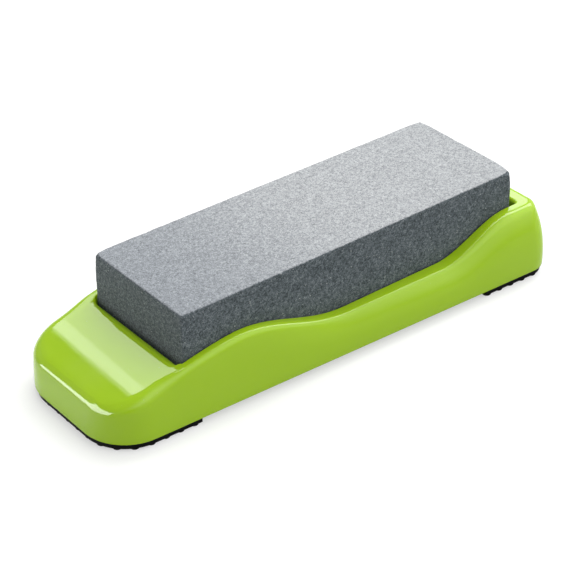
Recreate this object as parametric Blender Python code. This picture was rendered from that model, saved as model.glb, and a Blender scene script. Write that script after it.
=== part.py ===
"""Bench whetstone: a single-grit stone in a moulded holder on two studded rubber feet.

The holder runs along X, nose at -X and heel at +X. Z is up and zero is the bench that the
feet stand on. The holder is one moulding, open underneath: an outer skirt, a deck and rim
with a wavy top, and a tray that the stone drops into. The stone lifts straight out.
All sizes are in metres.
"""
import math

import bmesh
import bpy
from mathutils import Matrix, Vector

# Stone
STONE_LENGTH = 0.152
STONE_WIDTH = 0.050
STONE_HEIGHT = 0.030
STONE_EDGE = 0.0006

# Clearances
SIDE_GAP = 0.0005
NOSE_GAP = 0.0006
HEEL_GAP = 0.0035
TOUCH_GAP = 0.0003

# Holder walls
WALL = 0.0022
FLOOR_THICKNESS = 0.0022
FLOOR_HEIGHT = 0.0095
RIB_THICKNESS = 0.0016
RIB_DEPTH = 0.0022
CROSS_RIB_COUNT = 4
LONG_RIB_OFFSET = 0.0110

# Holder plan: rim width beyond the pocket at the top, and how far the skirt spreads below it
NOSE_REACH = 0.0304
HEEL_REACH = 0.0073
RIM_AT_NOSE = 0.0035
RIM_AT_HEEL = 0.0068
SPREAD_AT_NOSE = 0.0005
SPREAD_AT_HEEL = 0.0050
END_SPREAD_NOSE = 0.0011
END_SPREAD_HEEL = 0.0030
NOSE_CORNER = 0.0147
HEEL_CORNER = 0.0068
CORNER_SPREAD = 0.0028
SKIRT_BULGE = 2.6

# Wave of the rim, as heights above the skirt's lower edge and places along the stone
NOSE_HEIGHT = 0.0130
CREST_HEIGHT = 0.0252
TROUGH_HEIGHT = 0.0147
HEEL_HEIGHT = 0.0251
CREST_PLACE = 0.022
WAVE_FALL = 0.048
WAVE_RISE = 0.035
HEEL_SHOULDER = 0.003
DECK_CURVE = 1.5

# Roundings of the rim and deck
RIM_ROUND = 0.0024
HEEL_SIDE_ROUND = 0.0050
DECK_SIDE_ROUND = 0.0042
DECK_END_ROUND = 0.0019
DECK_ROUND_FADE = 0.012
LIP_ROUND = 0.0030
POCKET_CORNER = 0.0020

# Feet
FOOT_INSET = 0.0008
FOOT_PLATE = 0.0019
NOSE_FOOT_LENGTH = 0.036
HEEL_FOOT_LENGTH = 0.0335
STUD_HEIGHT = 0.0009
STUD_RADIUS = 0.0020
STUD_TIP_RADIUS = 0.0017
STUD_PITCH = 0.0057
STUD_EDGE = 0.0021
PEG_RADIUS = 0.0020
PEG_LENGTH = 0.0050
PEG_OFFSET = 0.0165
NOSE_PEG_PLACE = 0.0140
HEEL_PEG_PLACE = 0.0190
BOSS_WALL = 0.0018
BORE_SPARE = 0.0008

# How finely curves are divided
ARC_STEPS = 7
SIDE_STEPS = 27
SKIRT_STEPS = 5
ROUND_STEPS = 4
STUD_SIDES = 8
PEG_SIDES = 16

# Worked out from the sizes above
POCKET_HALF = STONE_WIDTH / 2 + SIDE_GAP
POCKET_LENGTH = NOSE_GAP + STONE_LENGTH + HEEL_GAP
NOSE_BASE = NOSE_REACH + END_SPREAD_NOSE
HEEL_BASE = HEEL_REACH + END_SPREAD_HEEL
HOLDER_LENGTH = NOSE_BASE + POCKET_LENGTH + HEEL_BASE
POCKET_NOSE = NOSE_BASE - HOLDER_LENGTH / 2
POCKET_HEEL = POCKET_NOSE + POCKET_LENGTH
STONE_NOSE = POCKET_NOSE + NOSE_GAP
STONE_HEEL = STONE_NOSE + STONE_LENGTH
SKIRT_Z = STUD_HEIGHT + FOOT_PLATE + TOUCH_GAP
FLOOR_Z = SKIRT_Z + FLOOR_HEIGHT
STONE_Z = FLOOR_Z + TOUCH_GAP
OVERSHOOT = 0.004
SEAM = 0.00005


def clear_scene():
    for obj in list(bpy.data.objects):
        bpy.data.objects.remove(obj)


def paint(name, colour, roughness, metallic=0.0):
    """Make a plain Principled material."""
    material = bpy.data.materials.new(name)
    material.use_nodes = True
    shader = material.node_tree.nodes["Principled BSDF"]
    shader.inputs["Base Color"].default_value = (*colour, 1.0)
    shader.inputs["Roughness"].default_value = roughness
    shader.inputs["Metallic"].default_value = metallic
    return material


def finish(bm, name, material=None):
    """Turn a bmesh into a named object with outward faces."""
    bmesh.ops.recalc_face_normals(bm, faces=bm.faces)
    mesh = bpy.data.meshes.new(name)
    bm.to_mesh(mesh)
    bm.free()
    if material:
        mesh.materials.append(material)
    obj = bpy.data.objects.new(name, mesh)
    bpy.context.scene.collection.objects.link(obj)
    return obj


def tool(bm, name):
    """Turn a bmesh into a cutter or an addition that isn't part of the model."""
    obj = finish(bm, name)
    obj.display_type = "WIRE"
    obj.hide_render = True
    return obj


def combine(obj, other, operation):
    """Add a live Boolean between two objects."""
    modifier = obj.modifiers.new(other.name, "BOOLEAN")
    modifier.object = other
    modifier.operation = operation
    modifier.solver = "EXACT"


def tidy_seams(obj):
    """Weld the slivers that cuts leave where they pass close to a corner."""
    modifier = obj.modifiers.new("seams", "WELD")
    modifier.merge_threshold = SEAM


def soften(obj, angle_degrees=30):
    obj.data.shade_smooth()
    obj.data.set_sharp_from_angle(angle=math.radians(angle_degrees))


def blend(start, end, share):
    return start + (end - start) * share


def ease(share):
    """Go from 0 to 1 with level ends."""
    share = min(max(share, 0.0), 1.0)
    return (1 - math.cos(math.pi * share)) / 2


def rim_height(x):
    """Height of the deck and rim above the skirt's lower edge at a place along the holder."""
    crest = STONE_NOSE + CREST_PLACE
    if x <= crest:
        run = crest - (POCKET_NOSE - NOSE_REACH)
        share = (crest - x) / run
        return CREST_HEIGHT - (CREST_HEIGHT - NOSE_HEIGHT) * share ** DECK_CURVE
    fall = ease((x - crest) / WAVE_FALL)
    rise_end = STONE_HEEL - HEEL_SHOULDER
    rise = ease((x - (rise_end - WAVE_RISE)) / WAVE_RISE)
    height = blend(CREST_HEIGHT, TROUGH_HEIGHT, fall)
    return blend(height, HEEL_HEIGHT, rise)


def rounding(x, side_share):
    """Radius of the deck's outer edge: rim, nose side or nose end."""
    fade = ease((POCKET_NOSE - x) / DECK_ROUND_FADE)
    rise = ease((x - (STONE_HEEL - HEEL_SHOULDER - WAVE_RISE)) / WAVE_RISE)
    side = blend(blend(RIM_ROUND, HEEL_SIDE_ROUND, rise), DECK_SIDE_ROUND, fade)
    end = blend(RIM_ROUND, DECK_END_ROUND, fade)
    return blend(end, side, side_share ** 2)


def half_outline(level, inset=0.0):
    """One side of the holder's plan, nose to heel, as places and outward directions.

    Level 0 is the rim's outer edge and level 1 the skirt's lower edge.
    """
    nose_x = POCKET_NOSE - NOSE_REACH - END_SPREAD_NOSE * level + inset
    heel_x = POCKET_HEEL + HEEL_REACH + END_SPREAD_HEEL * level - inset
    nose_y = POCKET_HALF + RIM_AT_NOSE + SPREAD_AT_NOSE * level - inset
    heel_y = POCKET_HALF + RIM_AT_HEEL + SPREAD_AT_HEEL * level - inset
    least = FOOT_INSET
    nose_r = max(NOSE_CORNER + CORNER_SPREAD * level - inset, least)
    heel_r = max(HEEL_CORNER + CORNER_SPREAD * level - inset, least)
    slope = (heel_y - nose_y) / (heel_x - nose_x)
    lean = math.hypot(1, slope)
    turn = math.pi / 2 + math.atan(slope)
    nose_centre = Vector((nose_x + nose_r, nose_y + slope * nose_r - lean * nose_r))
    heel_centre = Vector((heel_x - heel_r, heel_y - slope * heel_r - lean * heel_r))
    points = []
    for step in range(ARC_STEPS + 1):
        angle = blend(math.pi, turn, step / ARC_STEPS)
        way = Vector((math.cos(angle), math.sin(angle)))
        points.append((nose_centre + way * nose_r, way))
    side_start = points[-1][0]
    side_way = points[-1][1]
    side_end = heel_centre + side_way * heel_r
    for step in range(1, SIDE_STEPS):
        points.append((side_start.lerp(side_end, step / SIDE_STEPS), side_way))
    for step in range(ARC_STEPS + 1):
        angle = blend(turn, 0.0, step / ARC_STEPS)
        way = Vector((math.cos(angle), math.sin(angle)))
        points.append((heel_centre + way * heel_r, way))
    return points


def whole_ring(half):
    """Close one side's places with their mirror images, all the way round."""
    mirrored = [Vector((place.x, -place.y, place.z)) for place in half]
    return half + mirrored[::-1]


def first_ring(bm, places):
    ring = [bm.verts.new(place) for place in places]
    for start, end in zip(ring, ring[1:] + ring[:1]):
        bm.edges.new((start, end))
    return ring


def next_ring(bm, ring, places):
    """Extrude a closed ring of vertices and put the new ring at its places."""
    edges = [bm.edges.get(pair) for pair in zip(ring, ring[1:] + ring[:1])]
    grown = bmesh.ops.extrude_edge_only(bm, edges=edges)["geom"]
    fresh = {item for item in grown if isinstance(item, bmesh.types.BMVert)}
    moved = []
    for old, place in zip(ring, places):
        new = next(edge.other_vert(old) for edge in old.link_edges if edge.other_vert(old) in fresh)
        new.co = place
        moved.append(new)
    return moved


def close_across(bm, ring):
    """Cap a ring with strips that run from each vertex to its mirror image."""
    half = len(ring) // 2
    for step in range(half - 1):
        bm.faces.new((ring[step], ring[step + 1], ring[-step - 2], ring[-step - 1]))


def skirt_place(step_share, top, base, crown):
    """A place on the bulged skirt between its lower edge and the start of the rim rounding."""
    spread = 1 - step_share ** SKIRT_BULGE
    flat = top.lerp(base, spread)
    return Vector((flat.x, flat.y, SKIRT_Z + crown * step_share))


def moulding(inset, drop, bottom):
    """The holder's outer shape, or with an inset and a drop, the hollow inside its walls."""
    tops = half_outline(0, inset)
    bases = half_outline(1, inset)
    radii = [max(rounding(place.x, abs(way.y)) - inset, 0.0) for place, way in tops]
    crowns = [rim_height(top[0].x) - drop - radius for top, radius in zip(tops, radii)]
    bm = bmesh.new()
    ring = first_ring(bm, whole_ring([Vector((*base[0], bottom)) for base in bases]))
    floor = ring
    start_step = 0 if bottom < SKIRT_Z else 1
    for step in range(start_step, SKIRT_STEPS + 1):
        share = step / SKIRT_STEPS
        half = [skirt_place(share, top[0], base[0], crown)
                for top, base, crown in zip(tops, bases, crowns)]
        ring = next_ring(bm, ring, whole_ring(half))
    if inset == 0:
        for step in range(1, ROUND_STEPS + 1):
            angle = math.pi / 2 * step / ROUND_STEPS
            half = []
            for (place, way), radius in zip(tops, radii):
                flat = place - way * radius * (1 - math.cos(angle))
                height = rim_height(flat.x) - drop - radius * (1 - math.sin(angle))
                half.append(Vector((*flat, SKIRT_Z + height)))
            ring = next_ring(bm, ring, whole_ring(half))
    close_across(bm, ring)
    close_across(bm, floor)
    return bm


def add_box(bm, low, high):
    """Add a box between two corners."""
    low = Vector(low)
    high = Vector(high)
    matrix = Matrix.Translation((low + high) / 2) @ Matrix.Diagonal((*(high - low), 1))
    return bmesh.ops.create_cube(bm, size=1, matrix=matrix)["verts"]


def add_post(bm, place, bottom, top, radius, tip_radius, sides):
    """Add an upright round post."""
    height = top - bottom
    matrix = Matrix.Translation((place[0], place[1], bottom + height / 2))
    bmesh.ops.create_cone(bm, cap_ends=True, segments=sides, radius1=radius,
                          radius2=tip_radius, depth=height, matrix=matrix)


def pocket_cutter():
    """The pocket: a box whose nose wall rolls over into the deck and whose heel corners are round."""
    top = SKIRT_Z + CREST_HEIGHT + OVERSHOOT
    deck = SKIRT_Z + rim_height(POCKET_NOSE)
    profile = [(POCKET_NOSE, FLOOR_Z), (POCKET_HEEL, FLOOR_Z), (POCKET_HEEL, top)]
    slope = math.atan((rim_height(POCKET_NOSE) - rim_height(POCKET_NOSE - LIP_ROUND)) / LIP_ROUND)
    centre_x = POCKET_NOSE - LIP_ROUND
    centre_z = deck - LIP_ROUND * (math.tan(slope) + 1 / math.cos(slope))
    end_x = centre_x - LIP_ROUND * math.sin(slope)
    end_z = centre_z + LIP_ROUND * math.cos(slope)
    profile.append((end_x - OVERSHOOT, top))
    profile.append((end_x - OVERSHOOT, end_z - (OVERSHOOT - TOUCH_GAP) * math.tan(slope)))
    for step in range(ARC_STEPS + 1):
        angle = blend(math.pi / 2 + slope, 0, step / ARC_STEPS)
        profile.append((centre_x + LIP_ROUND * math.cos(angle), centre_z + LIP_ROUND * math.sin(angle)))
    bm = bmesh.new()
    ring = first_ring(bm, [Vector((x, -POCKET_HALF, z)) for x, z in profile])
    near = bm.faces.new(ring)
    side = bmesh.ops.extrude_face_region(bm, geom=[near], use_keep_orig=True)["geom"]
    far = [item for item in side if isinstance(item, bmesh.types.BMVert)]
    bmesh.ops.translate(bm, verts=far, vec=(0, 2 * POCKET_HALF, 0))
    heel_edges = [edge for edge in bm.edges
                  if all(abs(vert.co.x - POCKET_HEEL) < TOUCH_GAP for vert in edge.verts)
                  and abs(edge.verts[0].co.y - edge.verts[1].co.y) < TOUCH_GAP]
    bmesh.ops.bevel(bm, geom=heel_edges, offset=POCKET_CORNER, affect="EDGES",
                    segments=3, profile=0.5, material=-1)
    return tool(bm, "pocket_cutter")


def peg_places():
    """Places of the pegs of the nose foot and of the heel foot."""
    nose_x = -HOLDER_LENGTH / 2 + NOSE_PEG_PLACE
    heel_x = HOLDER_LENGTH / 2 - HEEL_PEG_PLACE
    nose = [(nose_x, side * PEG_OFFSET) for side in (-1, 1)]
    heel = [(heel_x, side * PEG_OFFSET) for side in (-1, 1)]
    return nose, heel


def hollow_cutter():
    """The space under the deck and tray, less the ribs and the bosses for the pegs."""
    below = SKIRT_Z - OVERSHOOT
    hollow = tool(moulding(WALL, WALL, below), "hollow_cutter")
    bm = bmesh.new()
    top = SKIRT_Z + CREST_HEIGHT + OVERSHOOT
    half = POCKET_HALF + WALL
    add_box(bm, (POCKET_NOSE - WALL, -half, FLOOR_Z - FLOOR_THICKNESS), (POCKET_HEEL + WALL, half, top))
    combine(hollow, tool(bm, "tray_block"), "DIFFERENCE")

    bm = bmesh.new()
    rib_low = FLOOR_Z - FLOOR_THICKNESS - RIB_DEPTH
    half_rib = RIB_THICKNESS / 2
    reach = POCKET_HALF + WALL / 2
    first = STONE_NOSE
    span = (HOLDER_LENGTH / 2 - HEEL_FOOT_LENGTH) - first
    for index in range(CROSS_RIB_COUNT):
        x = first + span * (index + 0.5) / CROSS_RIB_COUNT
        add_box(bm, (x - half_rib, -reach, rib_low), (x + half_rib, reach, FLOOR_Z))
    combine(hollow, tool(bm, "cross_ribs"), "DIFFERENCE")

    bm = bmesh.new()
    for y in (-LONG_RIB_OFFSET, LONG_RIB_OFFSET):
        near = (POCKET_NOSE - WALL / 2, y - half_rib, rib_low)
        far = (POCKET_HEEL + WALL / 2, y + half_rib, FLOOR_Z)
        add_box(bm, near, far)
    combine(hollow, tool(bm, "long_ribs"), "DIFFERENCE")

    bm = bmesh.new()
    boss_radius = PEG_RADIUS + TOUCH_GAP + BOSS_WALL
    for place in sum(peg_places(), []):
        add_post(bm, place, SKIRT_Z, top, boss_radius, boss_radius, PEG_SIDES)
    combine(hollow, tool(bm, "bosses"), "DIFFERENCE")
    tidy_seams(hollow)
    return hollow


def bore_cutter():
    """The blind holes in the bosses that the pegs press into."""
    bm = bmesh.new()
    radius = PEG_RADIUS + TOUCH_GAP
    bottom = SKIRT_Z - OVERSHOOT
    top = SKIRT_Z + PEG_LENGTH + BORE_SPARE
    for place in sum(peg_places(), []):
        add_post(bm, place, bottom, top, radius, radius, PEG_SIDES)
    return tool(bm, "bore_cutter")


def holder():
    plastic = paint("green_plastic", (0.33, 0.58, 0.02), 0.18)
    body = finish(moulding(0.0, 0.0, SKIRT_Z), "holder", plastic)
    combine(body, hollow_cutter(), "DIFFERENCE")
    combine(body, pocket_cutter(), "DIFFERENCE")
    combine(body, bore_cutter(), "DIFFERENCE")
    tidy_seams(body)
    soften(body)


def whetstone():
    grit = paint("grey_abrasive", (0.30, 0.31, 0.33), 0.9)
    bm = bmesh.new()
    half = STONE_WIDTH / 2
    add_box(bm, (STONE_NOSE, -half, STONE_Z), (STONE_HEEL, half, STONE_Z + STONE_HEIGHT))
    bmesh.ops.bevel(bm, geom=bm.edges[:], offset=STONE_EDGE, affect="EDGES",
                    segments=2, profile=0.5, material=-1)
    finish(bm, "whetstone", grit)


def foot_half(inset, end, cut):
    """One side of a foot's plan, from the middle of the rounded end to the straight cut."""
    points = [place for place, way in half_outline(1, inset)]
    if end > 0:
        points.reverse()
    kept = [place for place in points if (place.x - cut) * end > 0]
    beyond = points[len(kept)]
    last = kept[-1]
    kept.append(last.lerp(beyond, (cut - last.x) / (beyond.x - last.x)))
    return kept


def spaced(points, pitch):
    """Places at an even spacing along a line of points, with one at each end."""
    lengths = [(b - a).length for a, b in zip(points, points[1:])]
    count = max(round(sum(lengths) / pitch), 1)
    step = sum(lengths) / count
    places = [points[0]]
    walked = 0.0
    for a, b, length in zip(points, points[1:], lengths):
        while len(places) * step <= walked + length + TOUCH_GAP / 10 and len(places) <= count:
            share = (len(places) * step - walked) / length
            places.append(a.lerp(b, min(share, 1.0)))
        walked += length
    return places


def stud_places(end, cut):
    """Studs in rows that follow the rounded end, one row inside the next."""
    places = []
    inset = FOOT_INSET + STUD_EDGE
    last = cut + end * STUD_EDGE
    limit = POCKET_HALF + RIM_AT_NOSE
    reach = abs(HOLDER_LENGTH / 2 - abs(last)) - inset
    while inset < limit and reach > STUD_RADIUS:
        side = foot_half(inset, end, last)
        row = [Vector((place.x, -place.y)) for place in reversed(side)] + side
        places.extend(spaced(row, STUD_PITCH))
        inset += STUD_PITCH
        reach -= STUD_PITCH
    return places


def foot(name, end, length, pegs, rubber):
    """A moulded rubber foot: a plate under the skirt, studs below it and pegs above it."""
    cut = end * (HOLDER_LENGTH / 2 - length)
    plate_top = SKIRT_Z - TOUCH_GAP
    plate_low = plate_top - FOOT_PLATE
    side = foot_half(FOOT_INSET, end, cut)
    bm = bmesh.new()
    ring = first_ring(bm, whole_ring([Vector((*place, plate_low)) for place in side]))
    low = ring
    ring = next_ring(bm, ring, whole_ring([Vector((*place, plate_top)) for place in side]))
    close_across(bm, ring)
    close_across(bm, low)
    plate = finish(bm, name, rubber)

    bm = bmesh.new()
    sink = FOOT_PLATE / 2
    for place in stud_places(end, cut):
        add_post(bm, place, 0.0, plate_low + sink, STUD_TIP_RADIUS, STUD_RADIUS, STUD_SIDES)
    combine(plate, tool(bm, f"{name}_studs"), "UNION")

    bm = bmesh.new()
    for place in pegs:
        add_post(bm, place, plate_top - sink, plate_top + PEG_LENGTH, PEG_RADIUS, PEG_RADIUS, PEG_SIDES)
    combine(plate, tool(bm, f"{name}_pegs"), "UNION")
    soften(plate)


clear_scene()
holder()
whetstone()
nose_pegs, heel_pegs = peg_places()
black_rubber = paint("black_rubber", (0.012, 0.012, 0.013), 0.6)
foot("nose_foot", -1, NOSE_FOOT_LENGTH, nose_pegs, black_rubber)
foot("heel_foot", 1, HEEL_FOOT_LENGTH, heel_pegs, black_rubber)
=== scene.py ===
import math

import bmesh
import bpy
from mathutils import Matrix, Vector, noise


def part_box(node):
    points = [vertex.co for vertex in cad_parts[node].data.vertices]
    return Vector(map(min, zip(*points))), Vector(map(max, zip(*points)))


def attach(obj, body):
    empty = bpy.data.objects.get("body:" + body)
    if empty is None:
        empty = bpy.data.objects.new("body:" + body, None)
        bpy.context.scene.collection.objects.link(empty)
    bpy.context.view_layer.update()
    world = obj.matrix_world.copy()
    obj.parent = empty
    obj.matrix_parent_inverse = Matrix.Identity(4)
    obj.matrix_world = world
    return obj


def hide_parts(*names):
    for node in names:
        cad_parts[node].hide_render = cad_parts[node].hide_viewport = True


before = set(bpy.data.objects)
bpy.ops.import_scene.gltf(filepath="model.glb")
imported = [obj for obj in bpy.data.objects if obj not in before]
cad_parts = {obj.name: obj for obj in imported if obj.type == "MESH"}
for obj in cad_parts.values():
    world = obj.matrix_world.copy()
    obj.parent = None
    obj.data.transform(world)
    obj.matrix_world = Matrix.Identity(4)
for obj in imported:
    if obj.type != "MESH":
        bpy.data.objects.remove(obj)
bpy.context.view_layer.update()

# ---------------------------------------------------------------------------
# Holder
# One injection moulding in glossy lime plastic, open underneath: a bulged skirt, a deck and
# rim that rise and fall in a wave, and a tray for the stone. Ribs stiffen the tray's floor,
# and four bosses take the pegs of the feet.
# ---------------------------------------------------------------------------
holder_low, holder_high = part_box("holder")
stone_low, stone_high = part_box("whetstone")

SIDE_GAP = 0.0005
NOSE_GAP = 0.0006
HEEL_GAP = 0.0035
WALL = 0.0022
FLOOR_HEIGHT = 0.0095
FLOOR_THICKNESS = 0.0022

RIM_AT_NOSE = 0.0035
RIM_AT_HEEL = 0.0068
SPREAD_AT_NOSE = 0.0005
SPREAD_AT_HEEL = 0.0050
END_SPREAD_NOSE = 0.0011
END_SPREAD_HEEL = 0.0030
NOSE_CORNER = 0.0147
HEEL_CORNER = 0.0068
CORNER_SPREAD = 0.0028
LEAST_CORNER = 0.0008
SKIRT_BULGE = 2.6
SKIRT_EDGE = 0.0005

NOSE_HEIGHT = 0.0130
TROUGH_HEIGHT = 0.0147
HEEL_HEIGHT = 0.0251
CREST_PLACE = 0.022
WAVE_FALL = 0.048
WAVE_RISE = 0.035
HEEL_SHOULDER = 0.003
DECK_CURVE = 1.5

RIM_ROUND = 0.0024
HEEL_SIDE_ROUND = 0.0050
DECK_SIDE_ROUND = 0.0042
DECK_END_ROUND = 0.0026
DECK_ROUND_FADE = 0.012
LIP_ROUND = 0.0030
LIP_FADE = 0.0030
POCKET_EDGE = 0.0005
HEEL_LIP = 0.0014
POCKET_NOSE_CORNER = 0.0003
POCKET_HEEL_CORNER = 0.0020

RIB_THICKNESS = 0.0016
RIB_DEPTH = 0.0022
CROSS_RIB_COUNT = 4
LONG_RIB_OFFSET = 0.0110
PEG_RADIUS = 0.0020
PEG_LENGTH = 0.0050
PEG_OFFSET = 0.0165
NOSE_PEG_PLACE = 0.0140
HEEL_PEG_PLACE = 0.0190
PEG_CLEARANCE = 0.0003
BOSS_WALL = 0.0018
BORE_SPARE = 0.0008

END_STEPS = 10
CORNER_STEPS = 18
FRONT_STEPS = 12
SIDE_STEPS = 130
SKIRT_STEPS = 14
ROUND_STEPS = 9
DECK_STEPS = 12
LIP_STEPS = 8
EDGE_STEPS = 4
POCKET_CORNER_STEPS = 6
LEAN_TRIES = 3
PEG_SIDES = 32
OVERSHOOT = 0.004

pocket_half = stone_high.y + SIDE_GAP
pocket_nose = stone_low.x - NOSE_GAP
pocket_heel = stone_high.x + HEEL_GAP
skirt_z = holder_low.z
floor_z = skirt_z + FLOOR_HEIGHT
crest_height = holder_high.z - skirt_z


def between(start, end, share):
    return start + (end - start) * share


def ease(share):
    """Go from 0 to 1 with level ends."""
    share = min(max(share, 0.0), 1.0)
    return (1 - math.cos(math.pi * share)) / 2


def rim_height(x):
    """Height of the deck and rim above the skirt's lower edge."""
    crest = stone_low.x + CREST_PLACE
    nose_tip = holder_low.x + END_SPREAD_NOSE
    if x <= crest:
        share = (crest - x) / (crest - nose_tip)
        return crest_height - (crest_height - NOSE_HEIGHT) * share ** DECK_CURVE
    fall = ease((x - crest) / WAVE_FALL)
    rise = ease((x - (stone_high.x - HEEL_SHOULDER - WAVE_RISE)) / WAVE_RISE)
    return between(between(crest_height, TROUGH_HEIGHT, fall), HEEL_HEIGHT, rise)


def rim_slope(x):
    step = SKIRT_EDGE
    return (rim_height(x + step) - rim_height(x - step)) / (2 * step)


def outer_round(x, side_share):
    """Radius of the rounding between the deck or rim and the skirt."""
    fade = ease((pocket_nose - x) / DECK_ROUND_FADE)
    rise = ease((x - (stone_high.x - HEEL_SHOULDER - WAVE_RISE)) / WAVE_RISE)
    side = between(between(RIM_ROUND, HEEL_SIDE_ROUND, rise), DECK_SIDE_ROUND, fade)
    end = between(RIM_ROUND, DECK_END_ROUND, fade)
    return between(end, side, side_share ** 2)


def plan_corners(level, inset):
    """Centres and radii of the plan's two corners on the +Y side, and the side's direction out.

    Level 0 is the rim's outer edge and level 1 the skirt's lower edge.
    """
    nose_x = holder_low.x + END_SPREAD_NOSE * (1 - level) + inset
    heel_x = holder_high.x - END_SPREAD_HEEL * (1 - level) - inset
    nose_y = pocket_half + RIM_AT_NOSE + SPREAD_AT_NOSE * level - inset
    heel_y = pocket_half + RIM_AT_HEEL + SPREAD_AT_HEEL * level - inset
    nose_r = max(NOSE_CORNER + CORNER_SPREAD * level - inset, LEAST_CORNER)
    heel_r = max(HEEL_CORNER + CORNER_SPREAD * level - inset, LEAST_CORNER)
    slope = (heel_y - nose_y) / (heel_x - nose_x)
    lean = math.hypot(1, slope)
    nose_centre = Vector((nose_x + nose_r, nose_y + slope * nose_r - lean * nose_r))
    heel_centre = Vector((heel_x - heel_r, heel_y - slope * heel_r - lean * heel_r))
    return nose_centre, nose_r, heel_centre, heel_r, math.pi / 2 + math.atan(slope)


def direction(angle):
    return Vector((math.cos(angle), math.sin(angle)))


def front_share():
    """Share of the side, at rim level, that lies ahead of the pocket."""
    nose_centre, nose_r, heel_centre, heel_r, turn = plan_corners(0, 0)
    start = nose_centre + direction(turn) * nose_r
    end = heel_centre + direction(turn) * heel_r
    return (pocket_nose + POCKET_NOSE_CORNER - start.x) / (end.x - start.x)


def side_shares():
    ahead = front_share()
    front = [ahead * step / FRONT_STEPS for step in range(1, FRONT_STEPS + 1)]
    beside = [between(ahead, 1, step / SIDE_STEPS) for step in range(1, SIDE_STEPS)]
    return front + beside


def half_outline(level, inset=0.0, end_steps=END_STEPS):
    """One side of the plan, nose to heel, as places and outward directions."""
    nose_centre, nose_r, heel_centre, heel_r, turn = plan_corners(level, inset)
    points = []
    for step in range(end_steps):
        y = nose_centre.y * (step + 0.5) / end_steps
        points.append((Vector((nose_centre.x - nose_r, y)), direction(math.pi)))
    for step in range(CORNER_STEPS + 1):
        way = direction(between(math.pi, turn, step / CORNER_STEPS))
        points.append((nose_centre + way * nose_r, way))
    way = direction(turn)
    start = nose_centre + way * nose_r
    end = heel_centre + way * heel_r
    for share in side_shares():
        points.append((start.lerp(end, share), way))
    for step in range(CORNER_STEPS + 1):
        way = direction(between(turn, 0.0, step / CORNER_STEPS))
        points.append((heel_centre + way * heel_r, way))
    for step in range(end_steps):
        y = heel_centre.y * (1 - (step + 0.5) / end_steps)
        points.append((Vector((heel_centre.x + heel_r, y)), direction(0.0)))
    return points


def pocket_outline():
    """One side of the pocket's plan, matched point by point to the outer outline.

    Each point has its place, the direction into the pocket and the radius of its rolled edge.
    """
    outer = [place for place, way in half_outline(0)]
    wall_end = pocket_half - POCKET_NOSE_CORNER
    corner_count = POCKET_CORNER_STEPS + 1
    wall_count = END_STEPS + CORNER_STEPS + 1 + FRONT_STEPS - corner_count
    lengths = [0.0]
    for start, end in zip(outer[:wall_count], outer[1:wall_count + 1]):
        lengths.append(lengths[-1] + (end - start).length)
    points = []
    for length in lengths[:wall_count]:
        y = between(outer[0].y * wall_end / outer[wall_count].y, wall_end, length / lengths[-1])
        shrink = max((y - wall_end + LIP_FADE) / LIP_FADE, 0.0)
        roll = between(POCKET_EDGE, LIP_ROUND, math.sqrt(1 - shrink ** 2))
        points.append((Vector((pocket_nose, y)), Vector((1, 0)), roll))
    centre = Vector((pocket_nose + POCKET_NOSE_CORNER, wall_end))
    for step in range(corner_count):
        way = direction(math.pi - math.pi / 2 * step / POCKET_CORNER_STEPS)
        points.append((centre + way * POCKET_NOSE_CORNER, -way, POCKET_EDGE))
    side_end = pocket_heel - POCKET_HEEL_CORNER
    for step in range(1, SIDE_STEPS):
        x = between(centre.x, side_end, step / SIDE_STEPS)
        points.append((Vector((x, pocket_half)), Vector((0, -1)), POCKET_EDGE))
    centre = Vector((side_end, pocket_half - POCKET_HEEL_CORNER))
    for step in range(CORNER_STEPS + 1):
        way = direction(math.pi / 2 * (1 - step / CORNER_STEPS))
        roll = between(POCKET_EDGE, HEEL_LIP, ease(step / CORNER_STEPS))
        points.append((centre + way * POCKET_HEEL_CORNER, -way, roll))
    for step in range(END_STEPS):
        y = centre.y * (1 - (step + 0.5) / END_STEPS)
        points.append((Vector((pocket_heel, y)), Vector((-1, 0)), HEEL_LIP))
    return points


def whole_ring(half):
    """Close one side's places with their mirror images, all the way round."""
    mirrored = [Vector((place.x, -place.y, place.z)) for place in half]
    return half + mirrored[::-1]


def first_ring(bm, places):
    ring = [bm.verts.new(place) for place in places]
    for start, end in zip(ring, ring[1:] + ring[:1]):
        bm.edges.new((start, end))
    return ring


def next_ring(bm, ring, places):
    """Extrude a closed ring of vertices and put the new ring at its places."""
    edges = [bm.edges.get(pair) for pair in zip(ring, ring[1:] + ring[:1])]
    grown = bmesh.ops.extrude_edge_only(bm, edges=edges)["geom"]
    fresh = {item for item in grown if isinstance(item, bmesh.types.BMVert)}
    moved = []
    for old, place in zip(ring, places):
        new = next(edge.other_vert(old) for edge in old.link_edges if edge.other_vert(old) in fresh)
        new.co = place
        moved.append(new)
    return moved


def raised(place, height):
    return Vector((place.x, place.y, skirt_z + height))


def skirt_rows(tops, bases, crowns, first_share):
    """Rows of the bulged skirt from its lower edge to the start of the upper rounding."""
    for step in range(SKIRT_STEPS + 1):
        row = []
        for top, base, crown, low in zip(tops, bases, crowns, first_share):
            share = between(low, 1.0, step / SKIRT_STEPS)
            flat = top.lerp(base, 1 - share ** SKIRT_BULGE)
            row.append(raised(flat, crown * share))
        yield row


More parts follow.
